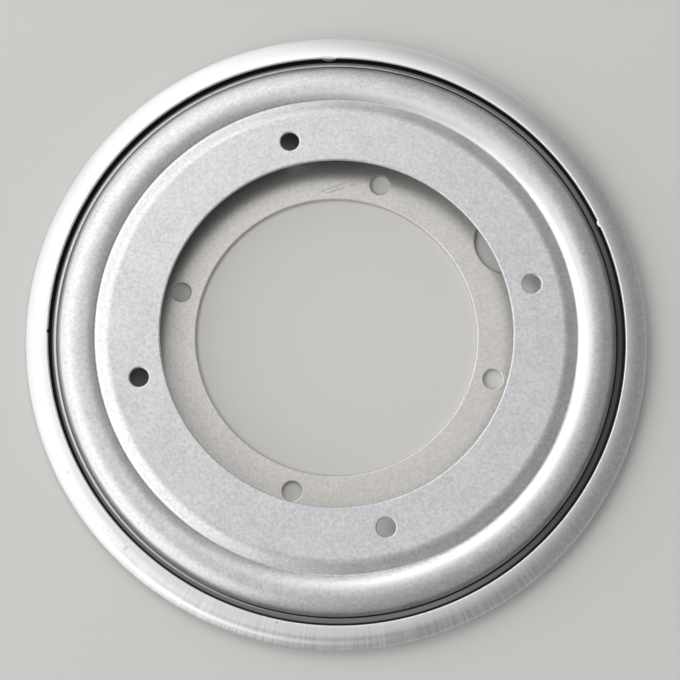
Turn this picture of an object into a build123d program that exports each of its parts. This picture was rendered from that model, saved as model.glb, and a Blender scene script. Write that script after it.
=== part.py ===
"""Lazy susan bearing: two pressed sheet steel rings that turn on a race of loose balls.

Origin on the turning axis in the plane that the base plate is screwed to, +Z up, in millimetres.
"""

import os
from math import cos, radians, sin

from build123d import *

# Overall
outer_diameter = 152.4
sheet = 1.0

# Balls and the races pressed into both plates
ball_diameter = 4.76
ball_count = 36
race_hollow = 5.85  # section radius of the hollow that the balls run in
race_clearance = 0.1  # above and below each ball
race_setback = 0.49  # how far each race stays inside its mounting plane
bead_outer_slope = 61.0  # steepness where the upper race meets the flange, degrees
bead_inner_slope = 35.4  # steepness where it meets the groove
base_outer_slope = 26.6  # steepness where the lower race meets the shelf
base_inner_slope = 27.0  # steepness where it meets the ridge

# Rim that holds the top plate down
rim_width = 6.1  # cut edge of the lip to the outside
lip_angle = 8.0  # rise of the lip at its cut edge
shoulder_slope = 36.0  # steepness where the rim's crown meets the tight curl at its outside
lip_gap = 0.75  # flange to lip, at the cut edge
slot_width = 2.15  # cut edge of the lip to the foot of the bead
flange_clearance = 3.3  # edge of the flange to the inside of the curl

# Slopes between the races and the flat mounting rings, and bends on the middle of the sheet
top_slope_width = 3.1
base_slope_width = 1.5
top_soft_bend = 3.5
base_soft_bend = 1.1
tight_bend = 1.0

# Bores and screw holes
top_bore = 85.6
base_bore = 69.2
screw_hole = 4.6
screw_count = 4
top_screw_inset = 6.15  # edge of the bore to the middle of a screw hole
base_screw_inset = 5.25
top_screw_angle = 13.8
base_screw_angle = -15.7
access_bore = 16.4  # lets a screwdriver through to the top plate's screws

# Both plates are drawn on the middle of their sheet
half_sheet = sheet / 2
press_radius = race_hollow + half_sheet


def press_run(slope):
    """Distance from the crest of a race to where it is this steep, across the section."""
    return press_radius * sin(radians(slope))


def press_drop(slope):
    """Height between the crest of a race and where it is this steep."""
    return press_radius * (1 - cos(radians(slope)))


# Heights, from the stack of sheet, ball and sheet
overall_height = 2 * (sheet + race_clearance + race_setback) + ball_diameter
top_height = overall_height - half_sheet
crest_height = top_height - race_setback
groove_height = crest_height - press_drop(bead_inner_slope)
flange_height = crest_height - press_drop(bead_outer_slope)
race_height = half_sheet + race_setback
ridge_height = race_height + press_drop(base_inner_slope)
shelf_height = race_height + press_drop(base_outer_slope)

# Radii, from the rim inwards
lip_radius = outer_diameter / 2 - rim_width
foot_radius = lip_radius - slot_width
race_radius = foot_radius - press_run(bead_outer_slope)
groove_radius = race_radius - press_run(bead_inner_slope)
top_flat_radius = groove_radius - top_slope_width
shelf_radius = race_radius + press_run(base_outer_slope)
ridge_radius = race_radius - press_run(base_inner_slope)
base_flat_radius = ridge_radius - base_slope_width
flange_radius = outer_diameter / 2 - sheet - flange_clearance
top_screw_radius = top_bore / 2 + top_screw_inset
base_screw_radius = base_bore / 2 + base_screw_inset

# Rim: a tight curl from the shelf to the shoulder, then a crown from there to the lip
# The curl takes the radius with which the crown comes to the lip at its angle
lip_edge = (lip_radius, flange_height + sheet + lip_gap)
rim_run = outer_diameter / 2 - half_sheet - lip_radius
rim_rise = lip_edge[1] - shelf_height
curl_run = 1 - sin(radians(shoulder_slope))
curl_rise = 1 + cos(radians(shoulder_slope))
crown_run = sin(radians(shoulder_slope)) - sin(radians(lip_angle))
crown_rise = cos(radians(lip_angle)) - cos(radians(shoulder_slope))
curl_radius = (rim_rise * crown_run - rim_run * crown_rise) / (curl_rise * crown_run - curl_run * crown_rise)
curl_centre = (outer_diameter / 2 - half_sheet - curl_radius, shelf_height + curl_radius)

# Base plate: mounting ring, lower race, shelf, and the rim curled over the top plate's flange
with BuildPart() as base_plate:
    with BuildSketch(Plane.XZ):
        with BuildLine() as base_section:
            base_flat = Line((base_bore / 2, half_sheet), (base_flat_radius, half_sheet))
            base_slope = Line(base_flat @ 1, (ridge_radius, ridge_height))
            race = ThreePointArc(base_slope @ 1, (race_radius, race_height), (shelf_radius, shelf_height))
            Line(race @ 1, (curl_centre[0], shelf_height))
            curl = CenterArc(curl_centre, curl_radius, -90, 180 - shoulder_slope)
            TangentArc(curl @ 1, lip_edge, tangent=curl % 1)
            fillet(base_section.vertices().sort_by(Axis.X)[2:4], tight_bend)
            fillet(base_section.vertices().sort_by(Axis.X)[1], base_soft_bend)
        trace(line_width=sheet)
    revolve(axis=Axis.Z)
    with PolarLocations(base_screw_radius, screw_count, start_angle=base_screw_angle):
        Hole(screw_hole / 2)
    # The access hole lies on the top plate's screw circle, midway between two base screws
    with PolarLocations(top_screw_radius, 1, start_angle=base_screw_angle + 180 / screw_count):
        Hole(access_bore / 2)
base_plate.part.label = "base_plate"

# Top plate: mounting ring, groove, bead over the balls, and the flange under the rim's lip
with BuildPart() as top_plate:
    with BuildSketch(Plane.XZ):
        with BuildLine() as top_section:
            top_flat = Line((top_bore / 2, top_height), (top_flat_radius, top_height))
            top_slope = Line(top_flat @ 1, (groove_radius, groove_height))
            bead = ThreePointArc(top_slope @ 1, (race_radius, crest_height), (foot_radius, flange_height))
            Line(bead @ 1, (flange_radius, flange_height))
            fillet(top_section.vertices().sort_by(Axis.X)[2:4], tight_bend)
            fillet(top_section.vertices().sort_by(Axis.X)[1], top_soft_bend)
        trace(line_width=sheet)
    revolve(axis=Axis.Z)
    with PolarLocations(top_screw_radius, screw_count, start_angle=top_screw_angle):
        Hole(screw_hole / 2)
top_plate.part.label = "top_plate"

# Loose balls between the two races
with BuildPart(Plane.XY.offset(overall_height / 2)) as balls:
    with PolarLocations(race_radius, ball_count):
        Sphere(ball_diameter / 2)
balls.part.label = "balls"

os.makedirs("parts", exist_ok=True)
export_step(base_plate.part, "parts/base_plate.step")
export_step(top_plate.part, "parts/top_plate.step")
export_step(balls.part, "parts/balls.step")
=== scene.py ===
"""Looks of a lazy susan bearing: two pressed galvanised rings that turn on a race of balls.

Sizes are in millimetres until a piece is built, which is in metres, in the part's own frame.
"""

from math import atan2, cos, degrees, hypot, pi, radians, sin, tan

import bpy
import numpy as np
from mathutils import Matrix, Vector
from mathutils.geometry import delaunay_2d_cdt


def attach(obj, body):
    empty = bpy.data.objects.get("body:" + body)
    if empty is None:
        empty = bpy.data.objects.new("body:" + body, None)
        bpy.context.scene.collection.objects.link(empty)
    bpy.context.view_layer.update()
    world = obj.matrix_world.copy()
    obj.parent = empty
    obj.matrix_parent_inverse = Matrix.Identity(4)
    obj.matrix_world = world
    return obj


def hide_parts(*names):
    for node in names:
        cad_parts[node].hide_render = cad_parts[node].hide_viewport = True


MM = 0.001

# Sheet, balls and races
OUTER_DIAMETER = 152.4
HALF_SHEET = 0.5
BALL_DIAMETER = 4.76
PRESS_RADIUS = 6.35
RACE_CLEARANCE = 0.1
RACE_SETBACK = 0.49
BEAD_OUTER_SLOPE = 61.0
BEAD_INNER_SLOPE = 35.4
BASE_OUTER_SLOPE = 26.6
BASE_INNER_SLOPE = 27.0

# Rim, slopes and bends, on the middle of the sheet
RIM_WIDTH = 6.1
LIP_ANGLE = 4.0
SHOULDER_SLOPE = 36.0
LIP_GAP = 0.75
SLOT_WIDTH = 2.15
FLANGE_CLEARANCE = 3.3
TOP_SLOPE_WIDTH = 3.1
BASE_SLOPE_WIDTH = 1.5
TOP_SOFT_BEND = 3.5
BASE_SOFT_BEND = 1.1
TIGHT_BEND = 1.0

# Bores and holes
TOP_BORE = 85.6
BASE_BORE = 69.2
SCREW_HOLE = 4.6
TOP_SCREW_RADIUS = 48.95
BASE_SCREW_RADIUS = 39.85
TOP_SCREW_ANGLE = 13.8
BASE_SCREW_ANGLE = -15.7
SCREW_COUNT = 4
ACCESS_BORE = 16.4
ACCESS_ANGLE = BASE_SCREW_ANGLE + 180 / SCREW_COUNT

# The bead leans out a little, and the flange falls from its foot by this many degrees as far as this radius
BEAD_LEAN = 0.4
FLANGE_FALL = 13.0
FALL_RADIUS = 69.6

# Cut edges are worn round: radius at bores and holes, and at the lip and the flange
EDGE_WEAR = 0.4
LIP_WEAR = 0.32

# Columns round the axis and round each hole
COLUMNS = 400
HOLE_COLUMNS = 56

# Closer columns where the lip is damaged: degrees between them and to each side, and digits of their angles
FINE_STEP = 0.1
FINE_HALF_WIDTH = 3.0
ANGLE_DIGITS = 4

# Points along a section: degrees between those of its arcs, and how many its bends and worn edges have
RACE_STEP = 4.0
BEAD_STEP = 3.0
CURL_STEP = 6.0
CROWN_STEP = 2.0
BASE_BEND_POINTS = 7
SOFT_BEND_POINTS = 12
TIGHT_BEND_POINTS = 9
FALL_POINTS = 5
EDGE_POINTS = 6

# Points of a flat that are closer than this count as one
FLAT_TOLERANCE = 1e-6

# Damage to the lip: angle and half width in degrees, and how far the edge leans in and hangs down
LIP_DAMAGE = [
    (22.9, 0.75, 0.42, 0.1),
    (91.6, 1.5, 0.42, 0.6),
    (180.0, 0.35, -0.3, 0.0),
]

# How far from the edge damage reaches, and how blunt it is: a lower power is blunter
LIP_DAMAGE_REACH = 0.7
LIP_DAMAGE_POWER = 0.7

# The slot runs wide on one side: its angle, how far the lip stays back there, and how far that reaches
SLOT_ANGLE = 320.0
LIP_DRIFT = 0.45
LIP_DRIFT_REACH = 2.5

# Looks of one side have that side's angle, and two ends that say where they begin and where they are whole:
# 1 is at that angle and -1 is opposite

# Grease in the slot, partly painted shade: where its film begins, how far its edge stays back on the lit
# side at this angle as painted light, and the side where the film is darker
GREASE_SHADE_RADIUS = 68.72
FILM_LIGHT_DRIFT = 0.15
FILM_LIGHT_ANGLE = 170.0
# Colour of marks and of painted shade on both plates, and of the film's inner edge
MARK_AND_SHADE_COLOUR = (0.12, 0.125, 0.122)
FILM_COLOUR = (0.25, 0.26, 0.255)
FILM_FADE = 0.25
DARK_FILM_ANGLE = 345.0
DARK_FILM_ENDS = (0.6, 0.95)
DARK_FILM_COLOUR = (0.08, 0.083, 0.082)

# Painted shade in the depth of the slot under the lip, in a colour that the crease shade lines take too:
# where it begins, how far that drifts to the wide side, and how softly it begins
SLOT_SHADE_RADIUS = 69.65
SLOT_SHADE_DRIFT = 0.35
SLOT_SHADE_FADE = 0.2
PAINTED_SHADE_COLOUR = (0.012, 0.012, 0.012)

# Part of the base plate that the top plate covers: painted light makes it brighter and less metallic, and
# painted shadow of the top plate lies on one side and reaches out past the bore's edge
HIDDEN_RADIUS = 44.0
HIDDEN_FADE = 2.0
UNDER_PLATE_LIGHT_SHARE = 0.8
UNDER_PLATE_LIGHT_COLOUR = (0.93, 0.94, 0.96)
# Painted shadow of the top plate on the base plate: the side it lies on, where it begins, how far it
# reaches in on the side at this angle, and how softly it begins and ends
PLATE_SHADOW_SIDE_ANGLE = 145.0
PLATE_SHADOW_SIDE_ENDS = (-0.2, 0.5)
PLATE_SHADOW_RADIUS = 43.5
PLATE_SHADOW_DRIFT = -3.5
PLATE_SHADOW_ANGLE = 100.0
PLATE_SHADOW_FADE = (-1.5, 2.0)

# Painted highlights along the bead and its foot, each on the side the lamps light: radius, half width,
# angle, strength
BEAD_HIGHLIGHT_LINES = [
    (58.3, 0.3, 170.0, 0.8),
    (60.3, 2.0, 25.0, 1.0),
    (61.2, 1.7, 330.0, 0.85),
    (67.1, 1.0, 175.0, 0.95),
    (68.65, 0.3, 180.0, 0.7),
]
HIGHLIGHT_COLOUR = (0.97, 0.97, 0.97)

# Bead that the press burnished: radius and half width, and how much smoother it is
BURNISH_LINE = (60.6, 3.6)
BURNISH_DEPTH = 0.09

# Lines of painted shade in the foot of the bead and in the groove: radius, drift to the slot's wide side,
# half width, and strength opposite the side at this angle and on that side
CREASE_SHADE_ANGLE = 350.0
CREASE_SHADE_ENDS = (-0.4, 0.3)
CREASE_SHADE_LINES = [
    (68.38, 0.28, 0.42, 0.7, 1.8),
    (58.9, 0.0, 0.4, 0.4, 0.0),
]

# Painted shade along parts of the groove and the bead's inner flank: radius, half width, angle, strength
GROOVE_SHADE_LINES = [
    (58.85, 0.7, 315.0, 0.66),
    (60.5, 1.7, 138.0, 0.35),
]

# Rim: where its face begins, the side that is scratched most, the north side painted lighter as painted
# light, and the one of even colour
RIM_RADIUS = 69.5
STREAK_ANGLE = 270.0
STREAK_ENDS = (0.5, 0.95)
STREAK_SHARES = (0.1, 0.7)
LIT_RIM_ANGLE = 90.0
LIT_RIM_ENDS = (0.5, 0.9)
LIT_RIM_COLOUR = (0.89, 0.895, 0.9)
EVEN_ANGLE = 175.0
EVEN_ENDS = (0.3, 0.8)
EVEN_SHARE = 0.8
EVEN_COLOUR = (0.69, 0.695, 0.7)

# Painted sheen: the rim is painted lighter towards its lip, and on the side at this angle that sheen is
# dimmed by painted shade
SHEEN_RADIUS = 74.0
SHEEN_SHARE = 0.75
SHEEN_COLOUR = (0.96, 0.965, 0.97)
DIM_SHEEN_ANGLE = 150.0
DIM_SHEEN_ENDS = (0.6, 0.95)
DIM_SHEEN_COLOUR = (0.72, 0.725, 0.73)

# Lines on parts of the rim: radius, half width, angle, strength. The first three dark ones the roller left,
# the last dark one is painted shade, and the bright ones are painted highlights
ROLL_AND_SHADE_LINES = [
    (70.95, 0.12, 205.0, 0.3),
    (71.35, 0.12, 205.0, 0.3),
    (71.75, 0.12, 205.0, 0.3),
    # Painted shade where the crown meets the curl
    (73.5, 0.6, 255.0, 0.15),
]
RIM_HIGHLIGHT_LINES = [
    (74.5, 0.75, 246.0, 0.85),
    (72.2, 1.8, 283.0, 0.5),
]

# Ends of the lines that go round parts of circles, for short lines and for long ones
SHORT_LINE_ENDS = (0.8, 0.98)
LONG_LINE_ENDS = (0.2, 0.7)

# Marks on the base plate and its rim: from place, to place, half width, strength
BASE_MARKS = [
    ((-3.9, 36.7), (3.6, 39.5), 0.2, 0.45),
    ((-2.3, 36.3), (1.7, 37.7), 0.32, 0.4),
    ((3.6, 38.5), (4.6, 38.65), 0.3, 0.4),
    ((-1.2, 41.1), (-1.0, 41.1), 0.3, 0.7),
    ((-38.3, 0.5), (-38.2, 0.5), 0.25, 0.6),
    ((-39.7, -7.8), (-39.6, -7.8), 0.25, 0.5),
]
RIM_MARKS_AND_SHADE = [
    ((-14.1, -69.7), (-14.0, -69.7), 0.3, 0.8),
    ((-64.5, -34.7), (-64.0, -34.2), 0.45, 0.35),
    ((-54.3, -48.3), (-54.1, -48.2), 0.4, 0.25),
    ((-50.3, -52.5), (-49.7, -52.1), 0.55, 0.35),
    # Painted shade on the burr that hangs from the lip
    ((-3.4, 69.7), (-0.5, 69.75), 0.55, 0.95),
]

# Zinc: dark and light of its grain on the top plate, on the base plate and on that plate's rim
TOP_ZINC = ((0.59, 0.595, 0.605), (0.77, 0.775, 0.785))
BASE_ZINC = ((0.616, 0.599, 0.572), (0.754, 0.731, 0.698))
RIM_ZINC = ((0.54, 0.545, 0.55), (0.8, 0.805, 0.81))

# Noise of the grain, of the clouds in it and of the rim's streaks: scale, detail and roughness
FINE_NOISE = (1300.0, 3.0, 0.6)
CLOUD_NOISE = (140.0, 4.0, 0.6)
STREAK_NOISE = (130.0, 3.0, 0.65)

# Levels of that noise that count as low and high
GRAIN_LEVELS = (0.36, 0.64)
CLOUD_LEVELS = (0.3, 0.7)
STREAK_LEVELS = (0.4, 0.6)

# Share of the fine grain beside the clouds, and how far it goes from dark to light on the rim
FINE_SHARE = 0.75
RIM_SHARES = (0.2, 0.8)

# Surface of the zinc, and the grain that can be felt
ZINC_METALLIC = 0.8
GREASE_METALLIC = 0.3
ZINC_ROUGHNESS = (0.43, 0.5)
ZINC_SPECULAR = 0.2
RIM_ANISOTROPY = 0.5
GRAIN_STRENGTH = 0.6
GRAIN_DEPTH = 0.02

# Rise of a face's normal where it begins to count as looking up, and where it does so wholly
UPPER_ENDS = (0.0, 0.2)

# Balls: noise of their film of grease and its low and high levels, with the colour and roughness at each
STEEL_NOISE = (400.0, 3.0, 0.55)
STEEL_LEVELS = (0.35, 0.65)
STEEL_COLOURS = ((0.5, 0.48, 0.44), (0.62, 0.62, 0.63))
STEEL_ROUGHNESS = (0.32, 0.14)

# Camera, fitted to the circles of both plates
CAMERA_DISTANCE = 390.2
CAMERA_ELEVATION = 79.25
CAMERA_TURN = -4.57
CAMERA_OFFSET = (0.83, -1.16)
CAMERA_TARGET_HEIGHT = 1.0
CAMERA_LENS = 83.9
CAMERA_CLIP_START = 10.0
SENSOR_WIDTH = 36.0

# Lamps: name, azimuth, elevation, width, height, radiance
LAMPS = [
    ("overhead", 10.0, 80.0, 900.0, 900.0, 0.98),
    ("key", 110.0, 61.0, 700.0, 700.0, 2.2),
    ("north_west", 118.0, 29.0, 1700.0, 2150.0, 1.1),
    ("west", 168.0, 33.0, 1800.0, 2500.0, 1.35),
    ("south_west", 220.0, 27.0, 1800.0, 2000.0, 1.5),
]
LAMP_DISTANCE = 2000.0
WORLD_LEVEL = 0.28
FLOOR_COLOUR = (0.66, 0.65, 0.63, 1.0)
FLOOR_ROUGHNESS = 0.8
FLOOR_SIZE = 3000.0


def line(start, end):
    """Points and directions of a straight run of a section."""
    way = (end - start) / abs(end - start)
    return np.array([start, end]), np.array([way, way])


def arc(centre, radius, start, end, step):
    """Points and directions of a round run of a section, with angles in degrees."""
    count = max(3, int(abs(end - start) / step) + 2)
    turn = np.exp(1j * np.radians(np.linspace(start, end, count)))
    return centre + radius * turn, turn * 1j * np.sign(end - start)


def bend(start, corner, end, count):
    """Points and directions of a bend that rounds off a corner of a section."""
    done = np.linspace(0, 1, count)
    left = 1 - done
    points = left**2 * start + 2 * done * left * corner + done**2 * end
    ways = left * (corner - start) + done * (end - corner)
    return points, ways / abs(ways)


def lean(run, amount):
    """Leans a raised run of a section out from the axis, most at its middle."""
    points = run[0] + amount * np.sin(np.linspace(0, pi, len(run[0]))) ** 2
    ways = np.gradient(points)
    return points, ways / abs(ways)


def join(*runs):
    """One section from runs that start where the one before ends."""
    points = np.concatenate([runs[0][0]] + [run[0][1:] for run in runs[1:]])
    ways = np.concatenate([runs[0][1]] + [run[1][1:] for run in runs[1:]])
    return points, ways


def polar(angle):
    """Direction of an angle in degrees, across a section."""
    return np.exp(1j * radians(angle))


def cut_edge(end, way, wear):
    """Worn cut edge of the sheet, from its right side round to its left side."""
    left = 1j * way
    inner = end - wear * way
    flat = HALF_SHEET - wear
    turn = np.exp(1j * np.radians(np.linspace(-90, 0, EDGE_POINTS)))
    right_points = inner - flat * left + wear * way * turn
    left_points = inner + flat * left + wear * way * turn * 1j
    points = np.concatenate([right_points, left_points])
    normals = np.concatenate([way * turn, way * turn * 1j])
    return points, normals


class Skin:
    """Vertices, normals and faces of one piece, gathered ring by ring."""

    def __init__(self):
        self.points = []
        self.normals = []
        self.faces = []

    def ring(self, point, normal, angles, centre=(0.0, 0.0)):
        """Adds a ring round an axis through centre and returns its vertex numbers."""
        first = len(self.points)
        for angle in angles:
            x, y = cos(angle), sin(angle)
            self.points.append((centre[0] + point.real * x, centre[1] + point.real * y, point.imag))
            self.normals.append((normal.real * x, normal.real * y, normal.imag))
        return list(range(first, first + len(angles)))

    def lathe(self, points, normals, angles, centre=(0.0, 0.0)):
        """Turns a chain of a section round an axis and returns its first and last ring."""
        rings = [self.ring(point, normal, angles, centre) for point, normal in zip(points, normals)]
        for ring, after in zip(rings, rings[1:]):
            for i in range(len(angles)):
                beside = (i + 1) % len(angles)
                self.faces.append((ring[i], ring[beside], after[beside], after[i]))
        return rings[0], rings[-1]

    def flat(self, outer, inner, holes, up):
        """Fills the flat between an outer ring and the rings inside it, with the hole rings open."""
        loops = [outer, inner] + [ring for ring, _, _ in holes]
        numbers = [number for loop in loops for number in loop]
        spots = [Vector(self.points[number][:2]) for number in numbers]
        edges, first = [], 0
        for loop in loops:
            count = len(loop)
            edges += [(first + i, first + (i + 1) % count) for i in range(count)]
            first += count
        bore = hypot(*self.points[inner[0]][:2])
        rim = hypot(*self.points[outer[0]][:2])
        found = delaunay_2d_cdt(spots, edges, [], 0, FLAT_TOLERANCE)
        spots, triangles, origins = found[0], found[2], found[3]
        for triangle in triangles:
            middle = sum((spots[i] for i in triangle), Vector((0.0, 0.0))) / 3
            in_hole = any((middle - spot).length < radius for _, spot, radius in holes)
            if in_hole or not bore < middle.length < rim:
                continue
            face = tuple(numbers[origins[i][0]] for i in triangle)
            self.faces.append(face if up else face[::-1])

    def build(self, name, materials, damage=None):
        """Makes the piece, in metres, with smooth normals from the section."""
        points = np.array(self.points)
        normals = np.array(self.normals)
        moved = np.zeros(len(points), bool)
        if damage:
            points, moved = damage(points)
        mesh = bpy.data.meshes.new(name)
        mesh.from_pydata((points * MM).tolist(), [], self.faces)
        mesh.validate()
        for material in materials:
            mesh.materials.append(material)
        for polygon in mesh.polygons:
            polygon.use_smooth = True
            on_rim = hypot(*polygon.center[:2]) > RIM_RADIUS * MM
            polygon.material_index = len(materials) - 1 if on_rim else 0
        mesh.update()
        own = np.array([vertex.normal[:] for vertex in mesh.vertices])
        normals[moved] = own[moved]
        mesh.normals_split_custom_set_from_vertices(normals.tolist())
        piece = bpy.data.objects.new(name, mesh)
        bpy.context.scene.collection.objects.link(piece)
        return piece


def column_angles(damaged):
    """Angles of the columns, in radians, with more of them round each damaged place."""
    angles = set(np.round(np.arange(COLUMNS) * 360 / COLUMNS, ANGLE_DIGITS))
    for middle in damaged:
        fine = np.arange(-FINE_HALF_WIDTH, FINE_HALF_WIDTH, FINE_STEP)
        angles |= set(np.round((middle + fine) % 360, ANGLE_DIGITS))
    return [radians(angle) for angle in sorted(angles)]


def press_drop(slope):
    """Height between the crest of a race and where it is this steep."""
    return PRESS_RADIUS * (1 - cos(radians(slope)))


def press_run(slope):
    """Distance from the crest of a race to where it is this steep."""
    return PRESS_RADIUS * sin(radians(slope))


# Heights and radii that follow from the sizes
OVERALL_HEIGHT = 2 * (2 * HALF_SHEET + RACE_CLEARANCE + RACE_SETBACK) + BALL_DIAMETER
TOP_HEIGHT = OVERALL_HEIGHT - HALF_SHEET
CREST_HEIGHT = TOP_HEIGHT - RACE_SETBACK
FLANGE_HEIGHT = CREST_HEIGHT - press_drop(BEAD_OUTER_SLOPE)
RACE_HEIGHT = HALF_SHEET + RACE_SETBACK
SHELF_HEIGHT = RACE_HEIGHT + press_drop(BASE_OUTER_SLOPE)
LIP_HEIGHT = FLANGE_HEIGHT + 2 * HALF_SHEET + LIP_GAP
LIP_RADIUS = OUTER_DIAMETER / 2 - RIM_WIDTH
FOOT_RADIUS = LIP_RADIUS - SLOT_WIDTH
RACE_RADIUS = FOOT_RADIUS - press_run(BEAD_OUTER_SLOPE)


def rim_section():
    """Tight curl at the outside of the base plate and the crown from there to the lip."""
    shoulder, lip = polar(90 - SHOULDER_SLOPE), polar(90 - LIP_ANGLE)
    run = OUTER_DIAMETER / 2 - HALF_SHEET - LIP_RADIUS
    rise = LIP_HEIGHT - SHELF_HEIGHT
    curl_run, curl_rise = 1 - shoulder.real, 1 + shoulder.imag
    crown_run, crown_rise = shoulder.real - lip.real, lip.imag - shoulder.imag
    turned = curl_rise * crown_run - curl_run * crown_rise
    curl_radius = (rise * crown_run - run * crown_rise) / turned
    crown_radius = (run - curl_run * curl_radius) / crown_run
    curl_middle = OUTER_DIAMETER / 2 - HALF_SHEET - curl_radius + 1j * (SHELF_HEIGHT + curl_radius)
    crown_middle = curl_middle - (crown_radius - curl_radius) * shoulder
    curl = arc(curl_middle, curl_radius, -90, 90 - SHOULDER_SLOPE, CURL_STEP)
    crown = arc(crown_middle, crown_radius, 90 - SHOULDER_SLOPE, 90 - LIP_ANGLE, CROWN_STEP)
    return curl, crown


def base_section():
    """Middle of the base plate's sheet, from the end of its flat to the lip."""
    ridge_height = RACE_HEIGHT + press_drop(BASE_INNER_SLOPE)
    ridge = RACE_RADIUS - press_run(BASE_INNER_SLOPE) + 1j * ridge_height
    corner = ridge.real - BASE_SLOPE_WIDTH + 1j * HALF_SHEET
    shelf = RACE_RADIUS + press_run(BASE_OUTER_SLOPE) + 1j * SHELF_HEIGHT
    slope = (ridge - corner) / abs(ridge - corner)
    climb = degrees(atan2(slope.imag, slope.real))
    soft = BASE_SOFT_BEND * tan(radians(climb / 2))
    at_ridge = TIGHT_BEND * tan(radians((climb + BASE_INNER_SLOPE) / 2))
    at_shelf = TIGHT_BEND * tan(radians(BASE_OUTER_SLOPE / 2))
    hollow = RACE_RADIUS + 1j * (RACE_HEIGHT + PRESS_RADIUS)
    race_start = -90 - BASE_INNER_SLOPE + degrees(at_ridge / PRESS_RADIUS)
    race_end = -90 + BASE_OUTER_SLOPE - degrees(at_shelf / PRESS_RADIUS)
    race = arc(hollow, PRESS_RADIUS, race_start, race_end, RACE_STEP)
    curl, crown = rim_section()
    return join(
        bend(corner - soft, corner, corner + soft * slope, BASE_BEND_POINTS),
        bend(ridge - at_ridge * slope, ridge, race[0][0], BASE_BEND_POINTS),
        race,
        bend(race[0][-1], shelf, shelf + at_shelf, BASE_BEND_POINTS),
        line(shelf + at_shelf, curl[0][0]),
        curl,
        crown,
    )


def top_section():
    """Middle of the top plate's sheet, from the end of its flat to the flange."""
    groove_height = CREST_HEIGHT - press_drop(BEAD_INNER_SLOPE)
    groove = RACE_RADIUS - press_run(BEAD_INNER_SLOPE) + 1j * groove_height
    corner = groove.real - TOP_SLOPE_WIDTH + 1j * TOP_HEIGHT
    foot = FOOT_RADIUS + 1j * FLANGE_HEIGHT
    slope = (groove - corner) / abs(groove - corner)
    fall = -degrees(atan2(slope.imag, slope.real))
    soft = TOP_SOFT_BEND * tan(radians(fall / 2))
    at_groove = TIGHT_BEND * tan(radians((fall + BEAD_INNER_SLOPE) / 2))
    at_foot = TIGHT_BEND * tan(radians((BEAD_OUTER_SLOPE - FLANGE_FALL) / 2))
    hollow = RACE_RADIUS + 1j * (CREST_HEIGHT - PRESS_RADIUS)
    bead_start = 90 + BEAD_INNER_SLOPE - degrees(at_groove / PRESS_RADIUS)
    bead_end = 90 - BEAD_OUTER_SLOPE + degrees(at_foot / PRESS_RADIUS)
    bead = lean(arc(hollow, PRESS_RADIUS, bead_start, bead_end, BEAD_STEP), BEAD_LEAN)
    away = polar(-FLANGE_FALL)
    level = foot + away * (FALL_RADIUS - FOOT_RADIUS) / away.real
    flange_edge = OUTER_DIAMETER / 2 - 2 * HALF_SHEET - FLANGE_CLEARANCE + 1j * level.imag
    return join(
        bend(corner - soft, corner, corner + soft * slope, SOFT_BEND_POINTS),
        bend(groove - at_groove * slope, groove, bead[0][0], TIGHT_BEND_POINTS),
        bead,
        bend(bead[0][-1], foot, foot + at_foot * away, TIGHT_BEND_POINTS),
        bend(level - HALF_SHEET * away, level, level + HALF_SHEET, FALL_POINTS),
        line(level + HALF_SHEET, flange_edge),
    )


def pressed_ring(section, bore, middle_height, holes, angles):
    """Skin of one pressed plate: its flat ring with holes, and its formed edge."""
    skin = Skin()
    points, ways = section
    end_points, end_normals = cut_edge(points[-1], ways[-1], LIP_WEAR)
    points = points.copy()
    points[-1] -= LIP_WEAR * ways[-1]
    left = 1j * ways
    chain = np.concatenate([points - HALF_SHEET * left, end_points, (points + HALF_SHEET * left)[::-1]])
    normals = np.concatenate([-left, end_normals, left[::-1]])
    lower_rim, upper_rim = skin.lathe(chain, normals, angles)
    start = bore / 2 + 1j * middle_height
    bore_points, bore_normals = cut_edge(start, -1.0, EDGE_WEAR)
    upper_bore, lower_bore = skin.lathe(bore_points, bore_normals, angles)
    upper_holes, lower_holes = [], []
    hole_angles = [2 * pi * i / HOLE_COLUMNS for i in range(HOLE_COLUMNS)]
    for x, y, diameter in holes:
        edge_points, edge_normals = cut_edge(diameter / 2 + 1j * middle_height, -1.0, EDGE_WEAR)
        upper, lower = skin.lathe(edge_points, edge_normals, hole_angles, (x, y))
        upper_holes.append((upper, Vector((x, y)), diameter / 2 + EDGE_WEAR))
        lower_holes.append((lower, Vector((x, y)), diameter / 2 + EDGE_WEAR))
    skin.flat(upper_rim, upper_bore, upper_holes, up=True)
    skin.flat(lower_rim, lower_bore, lower_holes, up=False)
    return skin


def on_circle(radius, first_angle, count, diameter):
    """Holes of one diameter, spaced evenly on a circle round the axis."""
    angles = [radians(first_angle + 360 * i / count) for i in range(count)]
    return [(radius * cos(angle), radius * sin(angle), diameter) for angle in angles]


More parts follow.
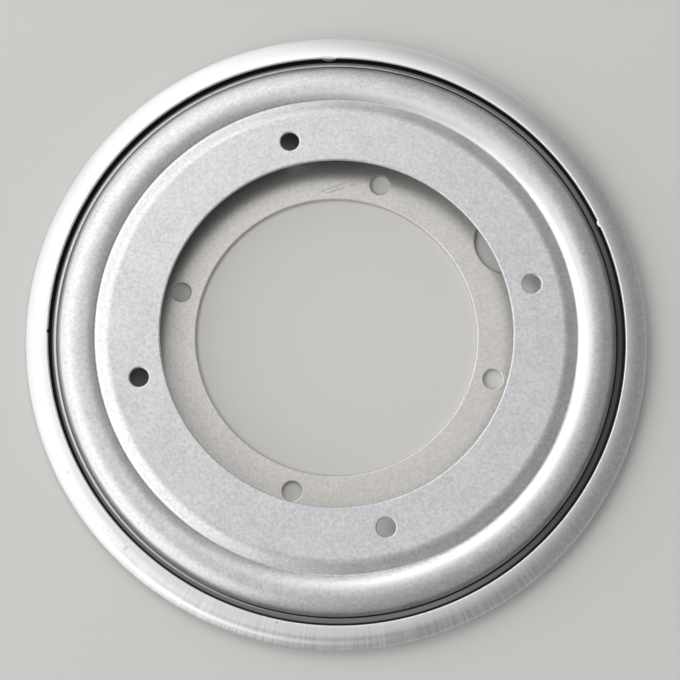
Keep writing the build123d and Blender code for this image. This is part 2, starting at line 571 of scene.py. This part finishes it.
def damage_lip(points):
    """Burrs and nicks the lip's cut edge, and sets it back on the slot's wide side."""
    points = points.copy()
    radius = np.hypot(points[:, 0], points[:, 1])
    angle = np.degrees(np.arctan2(points[:, 1], points[:, 0]))
    on_lip = points[:, 2] > FLANGE_HEIGHT + HALF_SHEET

    def near_edge(reach):
        """1 at the lip's cut edge, falling to 0 at this distance from it."""
        return np.clip((LIP_RADIUS + reach - radius) / reach, 0, 1) * on_lip

    damaged = near_edge(LIP_DAMAGE_REACH)
    leaned = np.zeros(len(points))
    hung = np.zeros(len(points))
    for middle, half_width, inward, downward in LIP_DAMAGE:
        away = (angle - middle + 180) % 360 - 180
        weight = np.clip(1 - (away / half_width) ** 2, 0, 1) ** LIP_DAMAGE_POWER
        leaned += weight * inward
        hung += weight * downward
    back = LIP_DRIFT * np.clip(np.cos(np.radians(angle - SLOT_ANGLE)), 0, 1) * near_edge(LIP_DRIFT_REACH)
    pull = 1 + (back - leaned * damaged) / radius
    points[:, 0] *= pull
    points[:, 1] *= pull
    points[:, 2] -= hung * damaged
    return points, (leaned != 0) & (damaged > 0)


class Graph:
    """Short names for the nodes of one material."""

    def __init__(self, name):
        self.material = bpy.data.materials.new(name)
        self.material.use_nodes = True
        self.tree = self.material.node_tree
        self.shader = self.tree.nodes["Principled BSDF"]
        coordinates = self.add("ShaderNodeTexCoord").outputs
        self.place = coordinates["Object"]
        self.across = self.vector("MULTIPLY", self.place, (1.0, 1.0, 0.0))
        self.radius = self.vector("LENGTH", self.across)
        self.way = self.vector("NORMALIZE", self.across)
        rise = self.vector("DOT_PRODUCT", coordinates["Normal"], (0.0, 0.0, 1.0))
        self.upper = self.spread(rise, *UPPER_ENDS)

    def add(self, kind, **settings):
        """Adds a node with these settings."""
        node = self.tree.nodes.new(kind)
        for name, value in settings.items():
            setattr(node, name, value)
        return node

    def feed(self, socket, value):
        """Links a socket to another, or sets it."""
        if isinstance(value, bpy.types.NodeSocket):
            self.tree.links.new(value, socket)
        else:
            socket.default_value = value

    def maths(self, operation, *values):
        """A number worked out from others."""
        node = self.add("ShaderNodeMath", operation=operation)
        for socket, value in zip(node.inputs, values):
            self.feed(socket, value)
        return node.outputs[0]

    def vector(self, operation, *values):
        """A vector, a length or a distance worked out from vectors."""
        node = self.add("ShaderNodeVectorMath", operation=operation)
        for socket, value in zip(node.inputs, values):
            self.feed(socket, value)
        return node.outputs["Value" if operation in ("LENGTH", "DISTANCE", "DOT_PRODUCT") else "Vector"]

    def noise(self, vector, scale, detail, roughness):
        """Cloudy noise between about 0.2 and 0.8."""
        node = self.add("ShaderNodeTexNoise")
        self.feed(node.inputs["Vector"], vector)
        self.feed(node.inputs["Scale"], scale)
        self.feed(node.inputs["Detail"], detail)
        self.feed(node.inputs["Roughness"], roughness)
        return node.outputs["Fac"]

    def spread(self, value, low, high, to_low=0.0, to_high=1.0, smooth=False):
        """Maps a range of a number to another, and stops at its ends."""
        node = self.add("ShaderNodeMapRange", interpolation_type="SMOOTHSTEP" if smooth else "LINEAR")
        for socket, number in zip(node.inputs, (value, low, high, to_low, to_high)):
            self.feed(socket, number)
        return node.outputs[0]

    def tint(self, amount, low, high):
        """A colour between two others."""
        node = self.add("ShaderNodeMix", data_type="RGBA")
        self.feed(node.inputs["Factor"], amount)
        for name, colour in (("A", low), ("B", high)):
            linked = isinstance(colour, bpy.types.NodeSocket)
            self.feed(node.inputs[name], colour if linked else (*colour, 1.0))
        return node.outputs["Result"]

    def side(self, angle):
        """1 on the side of the axis at this angle, falling to -1 on the other."""
        return self.vector("DOT_PRODUCT", self.way, (cos(radians(angle)), sin(radians(angle)), 0.0))

    def circle(self, radius, drift, angle):
        """Distance out from a circle round the axis, wider by drift on the side at this angle."""
        edge = self.spread(self.side(angle), -1.0, 1.0, (radius - drift) * MM, (radius + drift) * MM)
        return self.maths("SUBTRACT", self.radius, edge)

    def band(self, radius, half_width, drift=0.0):
        """1 on a circle round the axis, falling to 0 beside it."""
        away = self.maths("ABSOLUTE", self.circle(radius, drift, SLOT_ANGLE))
        return self.spread(away, half_width * MM, 0.0, smooth=True)

    def part_lines(self, lines, ends):
        """Lines round parts of circles, each strongest on the side at its angle."""
        found = []
        for radius, half_width, angle, strength in lines:
            here = self.spread(self.side(angle), *ends, 0.0, strength)
            found.append(self.maths("MULTIPLY", self.band(radius, half_width), here))
        return self.on_top(self.most(found))

    def stroke(self, start, end, half_width):
        """1 along a straight mark between two places, falling to 0 beside it."""
        run = Vector((*end, 0.0)) - Vector((*start, 0.0))
        length, way = run.length * MM, run.normalized()
        place = self.vector("SUBTRACT", self.across, (start[0] * MM, start[1] * MM, 0.0))
        along = self.spread(self.vector("DOT_PRODUCT", place, way), 0.0, length, 0.0, length)
        away = self.vector("DISTANCE", place, self.vector("MULTIPLY", along, way))
        return self.spread(away, half_width * MM, 0.0, smooth=True)

    def most(self, values):
        """The highest of several numbers."""
        highest = values[0]
        for value in values[1:]:
            highest = self.maths("MAXIMUM", highest, value)
        return highest

    def on_top(self, amount):
        """An amount on the faces that look up, and none on the others."""
        return self.maths("MULTIPLY", amount, self.upper)

    def marked(self, marks):
        """How strong the marks are at each place."""
        found = []
        for start, end, half_width, strength in marks:
            found.append(self.maths("MULTIPLY", self.stroke(start, end, half_width), strength))
        return self.most(found)

    def grain(self):
        """Fine mottled grain of the zinc, and the faint clouds in it."""
        return self.noise(self.place, *FINE_NOISE), self.noise(self.place, *CLOUD_NOISE)

    def bumps(self, height):
        """Roughens the surface by the height of its grain."""
        bump = self.add("ShaderNodeBump")
        self.feed(bump.inputs["Strength"], GRAIN_STRENGTH)
        self.feed(bump.inputs["Distance"], GRAIN_DEPTH * MM)
        self.feed(bump.inputs["Height"], height)
        self.feed(self.shader.inputs["Normal"], bump.outputs["Normal"])


def zinc(name, dark, light, marks, covered):
    """Satin galvanised sheet: fine grain and faint clouds, painted shade in its creases, grease and painted
    shade in the slot, painted highlights along the bead, painted light and shadow under the top plate.
    """
    graph = Graph(name)
    fine, clouds = graph.grain()
    shares = [graph.maths("MULTIPLY", fine, FINE_SHARE), graph.maths("MULTIPLY", clouds, 1 - FINE_SHARE)]
    level = graph.spread(graph.maths("ADD", *shares), *GRAIN_LEVELS)
    # Painted highlights along the bead
    highlight = graph.part_lines(BEAD_HIGHLIGHT_LINES, LONG_LINE_ENDS)
    sheet = graph.tint(highlight, graph.tint(level, dark, light), HIGHLIGHT_COLOUR)
    # Painted light on the part of the base plate that the top plate covers
    hidden_ends = (HIDDEN_RADIUS * MM, (HIDDEN_RADIUS + HIDDEN_FADE) * MM)
    under_plate_light = graph.on_top(graph.spread(graph.radius, *hidden_ends, 0.0, covered, smooth=True))
    lit_tone = graph.tint(under_plate_light, sheet, UNDER_PLATE_LIGHT_COLOUR)

    # Grease film in the slot, partly painted shade, kept back from the lit strip on one side
    past_film = graph.circle(GREASE_SHADE_RADIUS, FILM_LIGHT_DRIFT, FILM_LIGHT_ANGLE)
    film = graph.spread(past_film, 0.0, FILM_FADE * MM, smooth=True)
    # Painted shadow of the top plate, on one side of the base plate
    past_plate_shadow = graph.circle(PLATE_SHADOW_RADIUS, PLATE_SHADOW_DRIFT, PLATE_SHADOW_ANGLE)
    plate_shadow_ends = (PLATE_SHADOW_FADE[0] * MM, PLATE_SHADOW_FADE[1] * MM)
    plate_shadow = graph.spread(past_plate_shadow, *plate_shadow_ends, 0.0, covered, smooth=True)
    plate_shadow_side = graph.spread(graph.side(PLATE_SHADOW_SIDE_ANGLE), *PLATE_SHADOW_SIDE_ENDS)
    # Painted shade in the groove and in the foot of the bead
    crease_shade = [graph.part_lines(GROOVE_SHADE_LINES, SHORT_LINE_ENDS)]
    for radius, drift, half_width, faint, strong in CREASE_SHADE_LINES:
        here = graph.spread(graph.side(CREASE_SHADE_ANGLE), *CREASE_SHADE_ENDS, faint, strong)
        crease_shade.append(graph.maths("MULTIPLY", graph.band(radius, half_width, drift), here))
    covers = [film, graph.maths("MULTIPLY", plate_shadow_side, plate_shadow)] + crease_shade
    if marks:
        covers.append(graph.marked(marks))
    cover = graph.on_top(graph.most(covers))

    # Painted shade in the depth of the slot, and in the crease lines
    past_slot_shade = graph.circle(SLOT_SHADE_RADIUS, SLOT_SHADE_DRIFT, SLOT_ANGLE)
    slot_shade = graph.spread(past_slot_shade, -SLOT_SHADE_FADE * MM, SLOT_SHADE_FADE * MM, smooth=True)
    # The film is darker on one side
    dark_film_side = graph.spread(graph.side(DARK_FILM_ANGLE), *DARK_FILM_ENDS)
    grease_mark_and_shade = graph.tint(film, MARK_AND_SHADE_COLOUR, graph.tint(dark_film_side, FILM_COLOUR, DARK_FILM_COLOUR))
    grime_and_shade = graph.tint(graph.most([slot_shade] + crease_shade), grease_mark_and_shade, PAINTED_SHADE_COLOUR)

    dull = graph.maths("MAXIMUM", cover, under_plate_light)
    metallic = graph.spread(dull, 0.0, 1.0, ZINC_METALLIC, GREASE_METALLIC)
    roughness = graph.spread(clouds, *CLOUD_LEVELS, *ZINC_ROUGHNESS)
    burnish = graph.maths("MULTIPLY", graph.band(*BURNISH_LINE), BURNISH_DEPTH)
    inputs = graph.shader.inputs
    graph.feed(inputs["Base Color"], graph.tint(cover, lit_tone, grime_and_shade))
    graph.feed(inputs["Metallic"], metallic)
    graph.feed(inputs["Roughness"], graph.maths("SUBTRACT", roughness, burnish))
    graph.feed(inputs["Specular IOR Level"], ZINC_SPECULAR)
    graph.bumps(fine)
    return graph.material


def scratched_rim(name, dark, light, marks):
    """Rim with fine scratches across it, from the roller that curled it over, and painted sheen, highlights
    and shade.
    """
    graph = Graph(name)
    fine, clouds = graph.grain()
    streaks = graph.spread(graph.noise(graph.way, *STREAK_NOISE), *STREAK_LEVELS)
    streaked_side = graph.spread(graph.side(STREAK_ANGLE), *STREAK_ENDS, *STREAK_SHARES)
    level = graph.tint(streaked_side, graph.spread(fine, *GRAIN_LEVELS, *RIM_SHARES), streaks)
    even_side = graph.spread(graph.side(EVEN_ANGLE), *EVEN_ENDS, 0.0, EVEN_SHARE)
    even = graph.tint(even_side, graph.tint(level, dark, light), EVEN_COLOUR)
    # The north side is painted lighter: painted light
    lit_side = graph.on_top(graph.spread(graph.side(LIT_RIM_ANGLE), *LIT_RIM_ENDS))
    lit_tone = graph.tint(lit_side, even, LIT_RIM_COLOUR)

    # Painted sheen near the lip, dimmed by painted shade on one side
    sheen_ends = (SHEEN_RADIUS * MM, LIP_RADIUS * MM)
    smooth = graph.on_top(graph.spread(graph.radius, *sheen_ends, 0.0, SHEEN_SHARE, smooth=True))
    dim_sheen_side = graph.spread(graph.side(DIM_SHEEN_ANGLE), *DIM_SHEEN_ENDS)
    sheened = graph.tint(smooth, lit_tone, graph.tint(dim_sheen_side, SHEEN_COLOUR, DIM_SHEEN_COLOUR))
    # Painted highlights on the rim
    highlighted = graph.tint(graph.part_lines(RIM_HIGHLIGHT_LINES, SHORT_LINE_ENDS), sheened, SHEEN_COLOUR)
    # Roller lines, and one line of painted shade
    roll_and_shade_lines = graph.part_lines(ROLL_AND_SHADE_LINES, SHORT_LINE_ENDS)
    # Marks, with painted shade on the lip's burr among them
    cover = graph.maths("MAXIMUM", roll_and_shade_lines, graph.on_top(graph.marked(marks)))

    tangent = graph.add("ShaderNodeTangent", direction_type="RADIAL", axis="Z")
    inputs = graph.shader.inputs
    graph.feed(inputs["Base Color"], graph.tint(cover, highlighted, MARK_AND_SHADE_COLOUR))
    graph.feed(inputs["Metallic"], ZINC_METALLIC)
    graph.feed(inputs["Roughness"], graph.spread(clouds, *CLOUD_LEVELS, *ZINC_ROUGHNESS))
    graph.feed(inputs["Anisotropic"], RIM_ANISOTROPY)
    graph.feed(inputs["Tangent"], tangent.outputs["Tangent"])
    graph.bumps(fine)
    return graph.material


def greased_steel(name):
    """Ground steel with a patchy film of grease."""
    graph = Graph(name)
    film = graph.noise(graph.place, *STEEL_NOISE)
    inputs = graph.shader.inputs
    graph.feed(inputs["Base Color"], graph.tint(graph.spread(film, *STEEL_LEVELS), *STEEL_COLOURS))
    graph.feed(inputs["Metallic"], 1.0)
    graph.feed(inputs["Roughness"], graph.spread(film, *STEEL_LEVELS, *STEEL_ROUGHNESS))
    return graph.material


def make_floor():
    """Plain pale floor under the bearing."""
    half = FLOOR_SIZE / 2 * MM
    corners = [(-half, -half, 0), (half, -half, 0), (half, half, 0), (-half, half, 0)]
    mesh = bpy.data.meshes.new("floor")
    mesh.from_pydata(corners, [], [(0, 1, 2, 3)])
    material = bpy.data.materials.new("floor")
    material.use_nodes = True
    shader = material.node_tree.nodes["Principled BSDF"]
    shader.inputs["Base Color"].default_value = FLOOR_COLOUR
    shader.inputs["Roughness"].default_value = FLOOR_ROUGHNESS
    mesh.materials.append(material)
    floor = bpy.data.objects.new("floor", mesh)
    bpy.context.scene.collection.objects.link(floor)


def make_lamps():
    """Soft panels aimed at the bearing, and an even world."""
    for name, azimuth, elevation, width, height, radiance in LAMPS:
        lamp = bpy.data.lights.new(name, "AREA")
        lamp.shape = "RECTANGLE"
        lamp.size = width * MM
        lamp.size_y = height * MM
        lamp.energy = radiance * pi * lamp.size * lamp.size_y
        holder = bpy.data.objects.new(name, lamp)
        turn, rise = radians(azimuth), radians(elevation)
        away = Vector((cos(turn) * cos(rise), sin(turn) * cos(rise), sin(rise)))
        holder.location = away * LAMP_DISTANCE * MM
        holder.rotation_euler = away.to_track_quat("Z", "Y").to_euler()
        bpy.context.scene.collection.objects.link(holder)
    world = bpy.data.worlds.new("studio")
    world.use_nodes = True
    background = world.node_tree.nodes["Background"]
    background.inputs["Color"].default_value = (1.0, 1.0, 1.0, 1.0)
    background.inputs["Strength"].default_value = WORLD_LEVEL
    bpy.context.scene.world = world


def make_camera():
    """Camera above the bearing, a little to one side, as it was photographed."""
    turn, rise = radians(CAMERA_TURN), radians(CAMERA_ELEVATION)
    back = Vector((sin(turn) * cos(rise), -cos(turn) * cos(rise), sin(rise)))
    right = (-back).cross(Vector((0, 1, 0))).normalized()
    up = right.cross(-back)
    target = Vector((0, 0, CAMERA_TARGET_HEIGHT)) + right * CAMERA_OFFSET[0] + up * CAMERA_OFFSET[1]
    camera = bpy.data.cameras.new("camera")
    camera.lens = CAMERA_LENS
    camera.sensor_width = SENSOR_WIDTH
    camera.clip_start = CAMERA_CLIP_START * MM
    holder = bpy.data.objects.new("camera", camera)
    turned = Matrix((right, up, back)).transposed().to_4x4()
    holder.matrix_world = Matrix.Translation((target + back * CAMERA_DISTANCE) * MM) @ turned
    bpy.context.scene.collection.objects.link(holder)
    bpy.context.scene.camera = holder


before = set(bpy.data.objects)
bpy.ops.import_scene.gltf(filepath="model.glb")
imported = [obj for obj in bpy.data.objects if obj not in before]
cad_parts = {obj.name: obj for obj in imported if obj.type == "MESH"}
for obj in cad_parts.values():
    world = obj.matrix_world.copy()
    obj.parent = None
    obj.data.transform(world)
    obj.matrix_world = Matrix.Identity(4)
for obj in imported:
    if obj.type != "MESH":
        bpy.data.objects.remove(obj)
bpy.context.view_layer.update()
bpy.context.scene.view_settings.view_transform = "Standard"
make_camera()
make_lamps()
make_floor()

base_holes = on_circle(BASE_SCREW_RADIUS, BASE_SCREW_ANGLE, SCREW_COUNT, SCREW_HOLE)
base_holes += on_circle(TOP_SCREW_RADIUS, ACCESS_ANGLE, 1, ACCESS_BORE)
base_angles = column_angles([place[0] for place in LIP_DAMAGE])
base_skin = pressed_ring(base_section(), BASE_BORE, HALF_SHEET, base_holes, base_angles)
base_materials = [
    zinc("base_zinc", *BASE_ZINC, BASE_MARKS, UNDER_PLATE_LIGHT_SHARE),
    scratched_rim("base_rim", *RIM_ZINC, RIM_MARKS_AND_SHADE),
]
base_piece = base_skin.build("base_plate_skin", base_materials, damage_lip)
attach(base_piece, "base")
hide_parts("base_plate")

top_holes = on_circle(TOP_SCREW_RADIUS, TOP_SCREW_ANGLE, SCREW_COUNT, SCREW_HOLE)
top_skin = pressed_ring(top_section(), TOP_BORE, TOP_HEIGHT, top_holes, column_angles([]))
top_piece = top_skin.build("top_plate_skin", [zinc("top_zinc", *TOP_ZINC, [], 0.0)])
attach(top_piece, "turntable")
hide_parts("top_plate")

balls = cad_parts["balls"]
balls.data.materials.clear()
balls.data.materials.append(greased_steel("ball_steel"))
